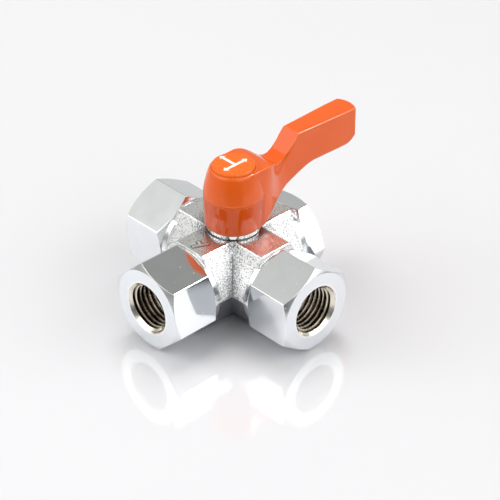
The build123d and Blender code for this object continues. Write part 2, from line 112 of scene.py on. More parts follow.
class Surface:
    """A Principled material whose textures run on object coordinates in millimetres."""

    def __init__(self, name, colour, roughness, metallic=0.0):
        self.material = bpy.data.materials.new(name)
        self.material.use_nodes = True
        self.tree = self.material.node_tree
        self.shader = self.tree.nodes["Principled BSDF"]
        self.shader.inputs["Metallic"].default_value = metallic
        self.shader.inputs["Roughness"].default_value = roughness
        self.shader.inputs["Base Color"].default_value = (*colour, 1)
        coordinates = self.tree.nodes.new("ShaderNodeTexCoord")
        self.place = self.stretched(coordinates.outputs["Object"], (1 / MM, 1 / MM, 1 / MM))
        self.normal = None

    def join(self, source, target):
        self.tree.links.new(source, target)

    def stretched(self, source, factors):
        node = self.tree.nodes.new("ShaderNodeVectorMath")
        node.operation = "MULTIPLY"
        node.inputs[1].default_value = factors
        self.join(source, node.inputs[0])
        return node.outputs["Vector"]

    def noise(self, size, detail=2.0, stretch=None):
        """Noise, 0 to 1, whose features are about size millimetres across."""
        node = self.tree.nodes.new("ShaderNodeTexNoise")
        node.inputs["Scale"].default_value = 1 / size
        node.inputs["Detail"].default_value = detail
        place = self.stretched(self.place, stretch) if stretch else self.place
        self.join(place, node.inputs["Vector"])
        return node.outputs["Fac"]

    def rings(self, size):
        """Concentric turning marks that follow the mesh's own radius."""
        node = self.tree.nodes.new("ShaderNodeTexNoise")
        node.noise_dimensions = "1D"
        node.inputs["Scale"].default_value = 1 / size
        node.inputs["Detail"].default_value = 1.0
        self.join(self.attribute("radius"), node.inputs["W"])
        return node.outputs["Fac"]

    def specks(self, spacing, width, share):
        """Small round specks, 1 at their middle, on a share of the cells spacing apart."""
        cells = self.tree.nodes.new("ShaderNodeTexVoronoi")
        cells.inputs["Scale"].default_value = 1 / spacing
        self.join(self.place, cells.inputs["Vector"])
        near = self.ramp(cells.outputs["Distance"], low=0, high=width / spacing, at_low=1, at_high=0)
        picked = self.tree.nodes.new("ShaderNodeSeparateColor")
        self.join(cells.outputs["Color"], picked.inputs["Color"])
        chosen = self.math("LESS_THAN", picked.outputs["Red"], share)
        return self.product(near, chosen)

    def attribute(self, name):
        node = self.tree.nodes.new("ShaderNodeAttribute")
        node.attribute_name = name
        return node.outputs["Fac"]

    def math(self, operation, a, b):
        node = self.tree.nodes.new("ShaderNodeMath")
        node.operation = operation
        for socket, value in zip(node.inputs, (a, b)):
            if isinstance(value, (int, float)):
                socket.default_value = value
            else:
                self.join(value, socket)
        return node.outputs["Value"]

    def scaled(self, source, factor):
        return self.math("MULTIPLY", source, factor)

    def product(self, a, b):
        return self.math("MULTIPLY", a, b)

    def sum(self, a, b):
        return self.math("ADD", a, b)

    def ramp(self, source, low, high, at_low, at_high):
        """A value that runs from at_low to at_high as source runs from low to high."""
        node = self.tree.nodes.new("ShaderNodeMapRange")
        self.join(source, node.inputs["Value"])
        set_range(node, low, high, at_low, at_high)
        return node.outputs["Result"]

    def colour(self, source, first, second):
        node = self.tree.nodes.new("ShaderNodeMix")
        node.data_type = "RGBA"
        node.inputs["A"].default_value = (*first, 1)
        node.inputs["B"].default_value = (*second, 1)
        self.join(source, node.inputs["Factor"])
        return node.outputs["Result"]

    def over(self, source, below, colour):
        """A colour painted over another where source is 1."""
        node = self.tree.nodes.new("ShaderNodeMix")
        node.data_type = "RGBA"
        self.join(below, node.inputs["A"])
        node.inputs["B"].default_value = (*colour, 1)
        self.join(source, node.inputs["Factor"])
        return node.outputs["Result"]

    def paint(self, result):
        self.join(result, self.shader.inputs["Base Color"])

    def rough(self, result):
        self.join(result, self.shader.inputs["Roughness"])

    def bump(self, height, depth):
        """Relief of depth millimetres, laid over any relief added before it."""
        node = self.tree.nodes.new("ShaderNodeBump")
        node.inputs["Strength"].default_value = 1.0
        node.inputs["Distance"].default_value = depth * MM
        self.join(height, node.inputs["Height"])
        if self.normal:
            self.join(self.normal, node.inputs["Normal"])
        self.normal = node.outputs["Normal"]
        self.join(self.normal, self.shader.inputs["Normal"])


# a plain finish's smoothest and dullest parts, as shares of its roughness
METAL_RANGE = (0.8, 1.3)
POLYMER_RANGE = (0.85, 1.15)


def bright_chrome():
    """Polished plate with a faint haze, dust, small pits, and turning marks on turned faces."""
    hazy, clear = (0.755, 0.78, 0.805), (0.83, 0.855, 0.88)
    worn, dusty = (0.93, 0.94, 0.95), (0.96, 0.96, 0.95)
    chrome = Surface("bright_chrome", colour=(0.80, 0.825, 0.85), roughness=0.09, metallic=1.0)
    haze = chrome.noise(size=4.0, detail=3.0)
    dust = chrome.specks(spacing=1.5, width=0.2, share=0.35)
    base = chrome.over(chrome.attribute("edge"), chrome.colour(haze, hazy, clear), worn)
    chrome.paint(chrome.over(dust, base, dusty))
    polish = chrome.ramp(haze, low=0.3, high=0.75, at_low=0.05, at_high=0.11)
    turned = chrome.scaled(chrome.attribute("turned"), 0.14)
    chrome.rough(chrome.sum(chrome.sum(polish, turned), chrome.scaled(dust, 0.35)))
    chrome.bump(chrome.noise(size=2.6), depth=0.005)
    marks = chrome.product(chrome.rings(size=0.11), chrome.attribute("turned"))
    chrome.bump(marks, depth=0.002)
    chrome.bump(dust, depth=0.02)
    return chrome.material


def plated_forging():
    """Chrome over a blasted forging: painted shade, with some grime, in its hollows, painted shade on its
    underside, smooth turned collars.
    """
    grime_and_shade, clean = (0.22, 0.22, 0.23), (0.96, 0.965, 0.97)
    machined, underside_shade, worn = (0.82, 0.84, 0.86), (0.42, 0.43, 0.45), (0.93, 0.94, 0.95)
    plate = Surface("plated_forging", colour=(0.80, 0.81, 0.82), roughness=0.2, metallic=1.0)
    sand = plate.noise(size=0.24)
    coarse = plate.noise(size=1.6)
    rough_share = plate.ramp(plate.attribute("smooth"), low=0, high=1, at_low=1, at_high=0)
    # painted shade, with some grime: more dark pits where the hollow value is high
    hollow_shade = plate.scaled(plate.attribute("hollow"), 0.2)
    pits = plate.math("SUBTRACT", plate.noise(size=0.26, detail=0.0), hollow_shade)
    grain = plate.ramp(pits, low=0.32, high=0.42, at_low=0, at_high=1)
    base = plate.over(plate.attribute("turned"), plate.colour(grain, grime_and_shade, clean), machined)
    # painted shade: faces that look down are painted darker
    base = plate.over(plate.attribute("under"), base, underside_shade)
    plate.paint(plate.over(plate.attribute("edge"), base, worn))
    satin = plate.ramp(coarse, low=0.3, high=0.7, at_low=0.12, at_high=0.24)
    plate.rough(plate.sum(satin, plate.scaled(plate.attribute("blasted"), 0.22)))
    plate.bump(plate.product(sand, rough_share), depth=0.05)
    plate.bump(plate.product(coarse, rough_share), depth=0.03)
    plate.bump(plate.product(plate.rings(size=0.13), plate.attribute("turned")), depth=0.003)
    return plate.material


def thread_metal():
    """Thinly plated brass inside the ports: a painted highlight on the crests and countersink, painted
    shade in the dark grooves, tool marks.
    """
    # the first two colours are painted shade for the grooves, the third a painted highlight for the
    # crests
    dull, stained_groove_shade, painted_highlight = (0.16, 0.10, 0.055), (0.25, 0.17, 0.10), (0.93, 0.88, 0.77)
    brass = Surface("thread_metal", colour=(0.66, 0.57, 0.42), roughness=0.2, metallic=1.0)
    # painted highlight on the crests and countersink, over the grooves' painted shade
    crest = brass.ramp(brass.attribute("edge"), low=0.45, high=1.0, at_low=0, at_high=1)
    patches = brass.noise(size=1.5, detail=3.0)
    brass.paint(brass.over(crest, brass.colour(patches, dull, stained_groove_shade), painted_highlight))
    brass.rough(brass.ramp(patches, low=0.3, high=0.7, at_low=0.16, at_high=0.3))
    brass.bump(brass.noise(size=0.25, stretch=(0.3, 0.3, 1)), depth=0.002)
    return brass.material


def orange_paint():
    """Gloss coating with a slight orange peel, satin on the hub, a painted highlight along the edges and
    painted shade below the hub's belt.
    """
    deep, light, thin = (0.78, 0.103, 0.003), (0.83, 0.118, 0.005), (0.95, 0.30, 0.10)
    skirt_shade, grit = (0.60, 0.065, 0.003), (0.62, 0.07, 0.01)
    paint = Surface("orange_paint", colour=(0.80, 0.11, 0.004), roughness=0.06)
    paint.shader.inputs["Specular IOR Level"].default_value = 0.45
    cloud = paint.noise(size=7.0, detail=3.0)
    dust = paint.specks(spacing=2.3, width=0.12, share=0.2)
    # painted shade: the hub's skirt below the belt is painted darker
    base = paint.over(paint.attribute("below_belt"), paint.colour(cloud, deep, light), skirt_shade)
    # painted highlight: the lighter colour named thin lines the convex edges
    base = paint.over(paint.attribute("edge"), base, thin)
    paint.paint(paint.over(dust, base, grit))
    gloss = paint.ramp(paint.noise(size=1.2), low=0.3, high=0.7, at_low=0.03, at_high=0.08)
    paint.rough(paint.sum(gloss, paint.scaled(paint.attribute("satin"), 0.15)))
    paint.bump(paint.noise(size=1.4), depth=0.003)
    paint.bump(dust, depth=0.02)
    return paint.material


def orange_cap():
    """Moulded plastic, duller than the paint, with a fine moulded grain."""
    deep, light = (0.84, 0.14, 0.008), (0.88, 0.16, 0.012)
    cap = Surface("orange_cap", colour=(0.86, 0.15, 0.01), roughness=0.3)
    cap.shader.inputs["Specular IOR Level"].default_value = 0.35
    cap.paint(cap.colour(cap.noise(size=5.0), deep, light))
    cap.rough(cap.ramp(cap.noise(size=0.8), low=0.3, high=0.7, at_low=0.26, at_high=0.30))
    cap.bump(cap.noise(size=0.22, detail=1.0), depth=0.0006)
    return cap.material


def white_print():
    """Printed ink, a little thin and uneven."""
    full, thin = (0.93, 0.91, 0.87), (0.86, 0.78, 0.70)
    ink = Surface("white_print", colour=(0.90, 0.88, 0.84), roughness=0.5)
    worn = ink.noise(size=0.8, detail=3.0)
    ink.paint(ink.colour(worn, full, thin))
    ink.rough(ink.ramp(worn, low=0.3, high=0.7, at_low=0.4, at_high=0.6))
    ink.bump(ink.noise(size=0.15), depth=0.004)
    return ink.material


def plain_metal(name, light, dark, roughness):
    """Machined metal with tool marks and stain."""
    metal = Surface(name, light, roughness, metallic=1.0)
    stain = metal.noise(size=2.0, detail=3.0)
    metal.paint(metal.colour(stain, light, dark))
    smooth, dull = (roughness * share for share in METAL_RANGE)
    metal.rough(metal.ramp(stain, low=0.3, high=0.7, at_low=smooth, at_high=dull))
    metal.bump(metal.noise(size=0.2, stretch=(0.2, 0.2, 1)), depth=0.004)
    return metal.material


def plain_polymer(name, light, dark, roughness):
    """Turned or moulded polymer with a fine grain."""
    polymer = Surface(name, light, roughness)
    mottle = polymer.noise(size=1.5, detail=3.0)
    polymer.paint(polymer.colour(mottle, light, dark))
    smooth, dull = (roughness * share for share in POLYMER_RANGE)
    polymer.rough(polymer.ramp(mottle, low=0.3, high=0.7, at_low=smooth, at_high=dull))
    polymer.bump(polymer.noise(size=0.15), depth=0.004)
    return polymer.material


CHROME = bright_chrome()
FORGING = plated_forging()
THREAD = thread_metal()
PAINT = orange_paint()
CAP = orange_cap()
INK = white_print()
GLAND = plain_metal("gland_chrome", light=(0.97, 0.96, 0.94), dark=(0.90, 0.89, 0.87), roughness=0.1)
BRASS = plain_metal("brass", light=(0.74, 0.60, 0.36), dark=(0.62, 0.48, 0.27), roughness=0.22)
STEEL = plain_metal("steel", light=(0.66, 0.66, 0.68), dark=(0.54, 0.54, 0.56), roughness=0.3)
PTFE = plain_polymer("ptfe", light=(0.90, 0.90, 0.88), dark=(0.84, 0.84, 0.81), roughness=0.45)
RUBBER = plain_polymer(
    "seal_rubber", light=(0.020, 0.020, 0.022), dark=(0.035, 0.035, 0.036), roughness=0.5
)


# ---- Mesh helpers ----


def add_piece(name, mesh, body, materials, replaced):
    piece = bpy.data.objects.new(name, mesh)
    bpy.context.scene.collection.objects.link(piece)
    for material in materials:
        mesh.materials.append(material)
    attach(piece, body)
    if replaced:
        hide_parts(replaced)
    return piece


def set_attribute(mesh, name, values):
    layer = mesh.attributes.new(name, "FLOAT", "POINT")
    layer.data.foreach_set("value", np.asarray(values, np.float32))


def mix(a, b, share):
    return a + (b - a) * share


def bend(start, corner, end, steps=3):
    """Points that round a corner of a section, from start to end."""
    points = []
    for step in range(steps + 1):
        t = step / steps
        points.append(mix(mix(start, corner, t), mix(corner, end, t), t))
    return points


def between(start, end, count):
    """count points between two section points, without them."""
    return [mix(start, end, step / (count + 1)) for step in range(1, count + 1)]


# ---- Screwed ends ----

SIDE_ANGLE = math.radians(60)
CORNER_STEPS = 4
FLAT_STEPS = 9
FLAT_MARGIN = 0.02  # share of a flat kept by the columns beside its corners
CREASE_BAND = 0.25  # straight part of a facet beside its crease
MOST_OF_SLOPE = 0.4  # share of a short chamfer that each of its roundings may take
SLOPE_ROWS = 2
FLANK_ROWS = 6
EDGE_ROWS = (1, 2, 7, 8)  # rows in the middle of a section's two roundings
FACET_ROW = 8
FACE_RINGS = 5
THREAD_STEPS = 12
SPARE_TURNS = 2
FLANK_SHARE = 1 / 3  # shares of the pitch taken by a thread's flank and by half its root
HALF_ROOT_SHARE = 1 / 12
ROUNDED_SHARE = 0.15  # share of a flank that is rounded at each end
SHARP_ANGLE = math.radians(40)
THREAD_SLOT = 1  # material slot of an end's thread
PLUG_RINGS = (8.5, 6.5, 4.5, 2.5, 1.0)


def on_circle(angle):
    return Vector((math.cos(angle), math.sin(angle)))


def hexagon_columns():
    """Points round a rounded hexagon, from its first corner: direction, radius and corner share."""
    to_centre = FLATS / math.sqrt(3) - CORNER_R / math.cos(SIDE_ANGLE / 2)
    shares = [FLAT_MARGIN]
    shares += [step / FLAT_STEPS for step in range(1, FLAT_STEPS)]
    shares.append(1 - FLAT_MARGIN)
    columns = []
    for side in range(6):
        corner_angle = SIDE_ANGLE * side
        centre = on_circle(corner_angle) * to_centre
        for step in range(CORNER_STEPS + 1):
            angle = corner_angle + SIDE_ANGLE * (step / CORNER_STEPS - 1 / 2)
            columns.append((centre + on_circle(angle) * CORNER_R, 1.0))
        normal = on_circle(corner_angle + SIDE_ANGLE / 2) * CORNER_R
        next_centre = on_circle(SIDE_ANGLE * (side + 1)) * to_centre
        for share in shares:
            columns.append((mix(centre + normal, next_centre + normal, share), 0.0))
    return [(point.normalized(), point.length, corner) for point, corner in columns]


def chamfered_section(radius, face):
    """Section, (radius, height) from the turned face down a facet to the rear chamfer."""
    drop = (radius - HEX_FACE_R) * math.tan(CHAMFER)
    slope = Vector((math.cos(CHAMFER), -math.sin(CHAMFER)))
    length = (radius - HEX_FACE_R) / math.cos(CHAMFER)
    crease = min(CREASE_R * math.tan(CHAMFER), MOST_OF_SLOPE * length)
    rim = min(RIM_R * math.tan(CHAMFER / 2), MOST_OF_SLOPE * length)
    edge = Vector((HEX_FACE_R, face))
    corner = Vector((radius, face - drop))
    top = bend(edge - Vector((rim, 0)), edge, edge + slope * rim)
    top += between(edge + slope * rim, corner - slope * crease, SLOPE_ROWS)
    top += bend(corner - slope * crease, corner, corner - Vector((0, crease)))
    top.append(corner - Vector((0, crease + CREASE_BAND)))
    bottom = [Vector((point.x, face + ARM_FACE - point.y)) for point in reversed(top)]
    return top + between(top[-1], bottom[0], FLANK_ROWS) + bottom


def thread_height(share):
    """Depth of the thread's groove, 0 to 1, at a share of the pitch."""
    away = abs(share - 1 / 2)
    slope = (1 / 2 - away - HALF_ROOT_SHARE) / FLANK_SHARE
    if ROUNDED_SHARE < slope < 1 - ROUNDED_SHARE:
        return slope
    slope = min(max(slope, 0), 1)
    return (1 - math.cos(math.pi * slope)) / 2


class Lathe:
    """Rows of points round an arm's axis, joined into one closed mesh."""

    def __init__(self, arm, turn):
        self.outward, across = ARMS[arm]
        self.corner = across * math.cos(turn) + UP * math.sin(turn)
        self.side = self.outward.cross(self.corner)
        self.mesh = bmesh.new()
        self.columns = hexagon_columns()
        self.facts = []
        self.rows = []

    def vertex(self, direction, radius, height, edge, turned):
        place = self.corner * direction.x + self.side * direction.y
        vertex = self.mesh.verts.new((place * radius + self.outward * height) * MM)
        self.facts.append((edge, turned, radius))
        return vertex

    def add_row(self, section, edge=0.0, turned=1.0):
        """A row at one (radius, height), the same all round."""
        radius, height = section
        row = [self.vertex(direction, radius, height, edge, turned) for direction, _, _ in self.columns]
        self.rows.append(row)

    def add_head(self, face):
        """Rows over the chamfered hexagon, from its face to its back."""
        sections = [chamfered_section(radius, face) for _, radius, _ in self.columns]
        last = len(sections[0]) - 1
        for index in range(last + 1):
            rim_row = min(index, last - index)
            row = []
            for (direction, _, corner), section in zip(self.columns, sections):
                on_edge = 1.0 if rim_row in EDGE_ROWS else 0.0
                on_facet = rim_row >= FACET_ROW
                edge = max(corner, on_edge) if on_facet else on_edge
                turned = 0.0 if on_facet else 1.0
                radius, height = section[index]
                row.append(self.vertex(direction, radius, height, edge, turned))
            self.rows.append(row)

    def join(self):
        """Faces between neighbouring rows."""
        for first, second in zip(self.rows, self.rows[1:]):
            for index in range(len(first)):
                after = (index + 1) % len(first)
                self.mesh.faces.new([first[index], first[after], second[after], second[index]])

    def add_thread(self, face, mouth_row, end_row):
        """The cut thread, as rows that follow its helix between the mouth and the end row."""
        turns = math.ceil(THREAD_DEPTH / PITCH) + SPARE_TURNS
        total = turns * THREAD_STEPS
        angles = [math.atan2(d.y, d.x) % math.tau for d, _, _ in self.columns]
        start = angles.index(min(angles))
        order = [(start + index) % len(angles) for index in range(len(angles))]
        grid = {}
        for level in range(total + 1):
            for column in order:
                depth = PITCH * (level / THREAD_STEPS + angles[column] / math.tau) - PITCH
                if depth <= SNAP:
                    grid[level, column] = mouth_row[column]
                elif depth >= THREAD_DEPTH:
                    grid[level, column] = end_row[column]
                else:
                    grid[level, column] = self.thread_vertex(face, level, column, depth)
        for level in range(total):
            for column, after in zip(order, order[1:] + order[:1]):
                # past the last column the helix goes on one pitch deeper
                shift = THREAD_STEPS if after == order[0] else 0
                near, far = min(level + shift, total), min(level + 1 + shift, total)
                ring = (grid[level, column], grid[near, after], grid[far, after], grid[level + 1, column])
                corners = list(dict.fromkeys(ring))
                if len(corners) > 2:
                    self.mesh.faces.new(corners).material_index = THREAD_SLOT

    def thread_vertex(self, face, level, column, depth):
        """One point of the thread, or of the countersink where that is wider."""
        fade = min(1, (THREAD_DEPTH - depth) / RUNOUT)
        share = (level % THREAD_STEPS) / THREAD_STEPS
        groove = (MAJOR_R - MINOR_R) * thread_height(share) * fade
        countersink = MOUTH_R - depth
        radius = max(MINOR_R + groove, countersink)
        crest = 1 - (radius - MINOR_R) / (MAJOR_R - MINOR_R)
        # the countersink and the crests carry the thread's painted highlight
        painted_highlight = 1.0 if countersink >= radius else max(crest, 0)
        direction = self.columns[column][0]
        return self.vertex(direction, radius, face - depth, edge=painted_highlight, turned=0.0)

    def finished(self, name):
        """The mesh, with its normals outward and its attributes set."""
        bmesh.ops.recalc_face_normals(self.mesh, faces=self.mesh.faces)
        for face in self.mesh.faces:
            face.smooth = True
        for edge in self.mesh.edges:
            if len(edge.link_faces) == 2 and edge.calc_face_angle() > SHARP_ANGLE:
                edge.smooth = False
        mesh = bpy.data.meshes.new(name)
        self.mesh.to_mesh(mesh)
        for index, attribute in enumerate(("edge", "turned", "radius")):
            set_attribute(mesh, attribute, [fact[index] for fact in self.facts])
        return mesh


def corner_turn(arm, node):
    """Angle of a hexagon's corner above the direction across its arm, read from the CAD node."""
    outward, across = ARMS[arm]
    points = [vertex.co for vertex in NODES[node].data.vertices]
    from_axis = [point - outward * point.dot(outward) for point in points]
    corner = max(from_axis, key=lambda point: point.length)
    return math.atan2(corner.z, corner.dot(across))


def face_distance(arm, node):
    """How far a node reaches out along its arm."""
    low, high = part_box(node)
    outward = ARMS[arm][0]
    return max(low.dot(outward), high.dot(outward)) / MM


def shank_rows(lathe):
    """Rows from the back of the head along the shank to the waterway, hidden inside the arm."""
    for radius, height in (
        (SHANK_R, ARM_FACE),
        (SHANK_R, GROOVE_END),
        (GROOVE_R, GROOVE_END),
        (GROOVE_R, GROOVE_START),
        (SHANK_R, GROOVE_START),
        (SHANK_R, SHANK_START),
        (NOSE_R, SHANK_START),
        (NOSE_R, NOSE_START),
        (SEAT_POCKET_R, NOSE_START),
        (SEAT_POCKET_R, SEAT_BACK),
    ):
        lathe.add_row(Vector((radius, height)))


def smooth_flats(piece):
    """Keeps the facets' shading flat up to their roundings."""
    weighted = piece.modifiers.new("flat_normals", "WEIGHTED_NORMAL")
    weighted.keep_sharp = True
    weighted.weight = 100


def make_port_end(arm):
    node = f"{arm}_port_end"
    face = face_distance(arm, node)
    lathe = Lathe(arm, corner_turn(arm, node))
    thread_end = face - THREAD_DEPTH
    # from the thread's end inward, out round the shank, over the head and back to the mouth
    lathe.add_row(Vector((MINOR_R, thread_end)))
    end_row = lathe.rows[0]
    lathe.add_row(Vector((WATERWAY_R, thread_end - MINOR_R + WATERWAY_R)))
    lathe.add_row(Vector((WATERWAY_R, SEAT_BACK)))
    inner = len(lathe.rows)
    shank_rows(lathe)
    lathe.rows[inner:] = reversed(lathe.rows[inner:])
    head = len(lathe.rows)
    lathe.add_head(face)
    lathe.rows[head:] = reversed(lathe.rows[head:])
    rim = Vector((HEX_FACE_R, face))
    mouth = Vector((MOUTH_R, face))
    for point in between(rim, mouth, FACE_RINGS):
        lathe.add_row(point)
    lathe.add_row(mouth, edge=1.0)
    mouth_row = lathe.rows[-1]
    lathe.join()
    lathe.add_thread(face, mouth_row, end_row)
    name = f"{arm}_union"
    piece = add_piece(name, lathe.finished(name), "body", (CHROME, THREAD), node)
    smooth_flats(piece)


def make_blind_plug():
    face = face_distance("back", "blind_plug")
    lathe = Lathe("back", corner_turn("back", "blind_plug"))
    shank_rows(lathe)
    lathe.rows.reverse()
    nose = lathe.rows[0]
    head = len(lathe.rows)
    lathe.add_head(face)
    lathe.rows[head:] = reversed(lathe.rows[head:])
    for radius in PLUG_RINGS:
        lathe.add_row(Vector((radius, face)))
    outer = lathe.rows[-1]
    lathe.join()
    for row in (outer, nose):
        lathe.mesh.faces.new(row)
    name = "blank_cap"
    piece = add_piece(name, lathe.finished(name), "body", (CHROME,), "blind_plug")
    smooth_flats(piece)


# ---- Cast pieces: fine even meshes grown over the CAD shapes ----

BODY_VOXEL = 0.19
LEVER_VOXEL = 0.15
SOFTENING = 2  # passes that round a new mesh's edges
SAME_PLACE = 1e-6
SHORTEST = 1e-9

# turned surfaces of the body: collars at the arm faces, and the bores inside
COLLAR_MARGIN = 0.05
RIM_MARGIN = 0.1
BORE_REACH = 8.6

# unevenness and wear of the forging, and the painted shade on its underside
WANDER_SIZE = 0.45
WANDER = 0.015
BODY_SHARP = 0.35  # lean between neighbours that counts as a sharp edge
FORGED_WEAR = 0.4
UNDERSIDE_GAIN = 3
STEEP = 0.9
STEEP_GAIN = 5

# painted shade, with some grime round the gland: near the corners between arms, low down, along their
# line, and round the gland
TOP_OF_WALLS = 9.0
WALL_FADE = 1.5
GLAND_R = 7.0
GLAND_REACH = 11.0
LOW_START = 2.0
LOW_FADE = 7.0
CORNER_REACH = 4.5
CORNER_LINE = 0.25
CORNER_SHADE = 0.9
LOW_SHADE = 1.4
LINE_SHADE = 3
GLAND_GRIME_AND_SHADE = 1.4
MOST_GRIME_AND_SHADE = 3

# the raised flow mark, and the grime and painted shade round its foot
MARK_STEP = 0.05
MARK_REACH = 4.0
MARK_SHADE_REACH = 0.6
MARK_GRIME_AND_SHADE = 2

# the lever: a belt groove round the hub, thumb scoops beside the neck, and painted shade below the belt
BELT = 21.0
BELT_DEPTH = 0.12
BELT_WIDTH = 0.22
BELOW_BELT_SHADE = 0.7
HUB_REACH = 7.95
HUB_LEAN = 0.5
LEVER_SHARP = 0.3
SCOOP_START = (3.3, 12.0, 24.2)
SCOOP_END = (3.0, 19.0, 28.6)
SCOOP_DEPTH = 1.3
SCOOP_WIDTH = 1.1
SCOOP_TIP_WIDTH = 0.5
SCOOP_LEAN = 0.4


def remeshed(name, node, voxel):
    """A new mesh over a CAD node's shape, in even small faces, with its edges softened."""
    source = NODES[node].data.copy()
    form = bmesh.new()
    form.from_mesh(source)
    bmesh.ops.remove_doubles(form, verts=form.verts, dist=SAME_PLACE)
    form.to_mesh(source)
    form.free()
    holder = bpy.data.objects.new("holder", source)
    bpy.context.scene.collection.objects.link(holder)
    remesh = holder.modifiers.new("remesh", "REMESH")
    remesh.mode = "VOXEL"
    remesh.voxel_size = voxel * MM
    soften = holder.modifiers.new("soften", "SMOOTH")
    soften.factor = 0.5
    soften.iterations = SOFTENING
    bpy.context.view_layer.update()
    graph = bpy.context.evaluated_depsgraph_get()
    mesh = bpy.data.meshes.new_from_object(holder.evaluated_get(graph))
    mesh.name = name
    mesh.materials.clear()
    bpy.data.objects.remove(holder)
    mesh.shade_smooth()
    return mesh


def vertex_values(mesh, name):
    values = np.zeros(len(mesh.vertices) * 3)
    mesh.vertices.foreach_get(name, values)
    return values.reshape(-1, 3)


def points_of(mesh):
    return vertex_values(mesh, "co")


def normals_of(mesh):
    return vertex_values(mesh, "normal")


def convexity(mesh, sharp):
    """How much each vertex stands out from its neighbours, 0 on flats to 1 on sharp edges."""
    points = points_of(mesh)
    normals = normals_of(mesh)
    ends = np.zeros(len(mesh.edges) * 2, int)
    mesh.edges.foreach_get("vertices", ends)
    first, second = ends.reshape(-1, 2).T
    step = points[second] - points[first]
    length = np.maximum(np.linalg.norm(step, axis=1), SHORTEST)
    lean = np.zeros(len(points))
    count = np.zeros(len(points))
    np.add.at(lean, first, -(step * normals[first]).sum(1) / length)
    np.add.at(lean, second, (step * normals[second]).sum(1) / length)
    np.add.at(count, first, 1)
    np.add.at(count, second, 1)
    return np.clip(lean / np.maximum(count, 1) / sharp, 0, 1)


def arm_facts(points):
    """Each point's distance out along its arm and its radius from that arm's axis."""
    along = np.abs(points[:, :2]).max(1) / MM
    across = np.abs(points[:, :2]).min(1) / MM
    return along, np.hypot(across, points[:, 2] / MM)


def hollows(points):
    """Painted shade, with some grime round the gland: deep in the corners between arms, low down, and
    round the gland.
    """
    x, y, z = np.abs(points[:, 0]) / MM, np.abs(points[:, 1]) / MM, points[:, 2] / MM
    aside = np.abs(x - y)
    below = np.clip((TOP_OF_WALLS - z) / WALL_FADE, 0, 1)
    near = np.clip(1 - aside / CORNER_REACH, 0, 1) ** 2
    line = np.clip(1 - aside / CORNER_LINE, 0, 1)
    low = np.clip((LOW_START - z) / LOW_FADE, 0, 1)
    walls = (near * CORNER_SHADE + near * low * LOW_SHADE + line * LINE_SHADE) * below
    inward = np.clip((GLAND_REACH - np.hypot(x, y)) / (GLAND_REACH - GLAND_R), 0, 1)
    round_gland = inward * (z > TOP_OF_WALLS)
    return np.clip(walls + round_gland * GLAND_GRIME_AND_SHADE, 0, MOST_GRIME_AND_SHADE)


def mark_facts(points):
    """The raised flow mark's points, and the grime and painted shade round it, 0 to 1."""
    flat_top = -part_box("valve_body")[0].z
    raised = points[:, 2] > flat_top + MARK_STEP * MM
    grime_and_shade = np.zeros(len(points))
    middle = points[raised].mean(0)
    near = np.linalg.norm(points - middle, axis=1) < MARK_REACH * MM
    beside = np.flatnonzero(near & ~raised)
    apart = points[beside][:, None, :2] - points[raised][None, :, :2]
    gap = np.linalg.norm(apart, axis=2).min(1) / MM
    grime_and_shade[beside] = np.clip(1 - gap / MARK_SHADE_REACH, 0, 1)
    return raised, grime_and_shade


def make_body():
    mesh = remeshed("cast_body", "valve_body", BODY_VOXEL)
    points = points_of(mesh)
    along, radius = arm_facts(points)
    on_collar = (along > COLLAR_START - COLLAR_MARGIN) & (radius < COLLAR_R + RIM_MARGIN)
    turned = on_collar | (radius < BORE_REACH)
    wander = np.array([noise.noise(Vector(point) / (WANDER_SIZE * MM)) for point in points])
    shift = normals_of(mesh) * (wander * np.where(turned, 0.0, WANDER) * MM)[:, None]
    mesh.vertices.foreach_set("co", (points + shift).ravel())
    mesh.update()
    rise = normals_of(mesh)[:, 2]
    raised, grime_and_shade = mark_facts(points)
    worn = convexity(mesh, BODY_SHARP) * np.where(turned, 1, FORGED_WEAR)
    # painted shade on faces that look down; the same mask also smooths their bump
    under = np.clip(-rise * UNDERSIDE_GAIN, 0, 1)
    steep = np.clip((STEEP - np.abs(rise)) * STEEP_GAIN, 0, 1)
    # painted shade, with some grime, in the hollows and round the mark
    hollow_grime_and_shade = np.maximum(hollows(points), grime_and_shade * MARK_GRIME_AND_SHADE)
    set_attribute(mesh, "edge", np.maximum(worn, raised))
    set_attribute(mesh, "turned", turned.astype(float))
    set_attribute(mesh, "under", under * ~turned)
    set_attribute(mesh, "smooth", np.maximum(turned, under))
    set_attribute(mesh, "blasted", steep * ~turned)
    set_attribute(mesh, "hollow", hollow_grime_and_shade * ~turned)
    set_attribute(mesh, "radius", np.where(along > ARM_FACE - RIM_MARGIN, radius, along))
    add_piece("cast_body", mesh, "body", (FORGING,), "valve_body")


def scoop(points, normals):
    """Depth of the thumb scoops that run along the neck's sides, under its top edges."""
    place = points / MM
    place[:, 0] = np.abs(place[:, 0])
    start, end = np.array(SCOOP_START), np.array(SCOOP_END)
    run = end - start
    along = (place - start) @ run / (run @ run)
    share = np.clip(along, 0, 1)
    away = np.linalg.norm(place - start - share[:, None] * run, axis=1)
    width = mix(SCOOP_WIDTH, SCOOP_TIP_WIDTH, share)
    depth = SCOOP_DEPTH * (1 - share) * np.exp(-((away / width) ** 2))
    return np.where(np.abs(normals[:, 0]) > SCOOP_LEAN, depth, 0)


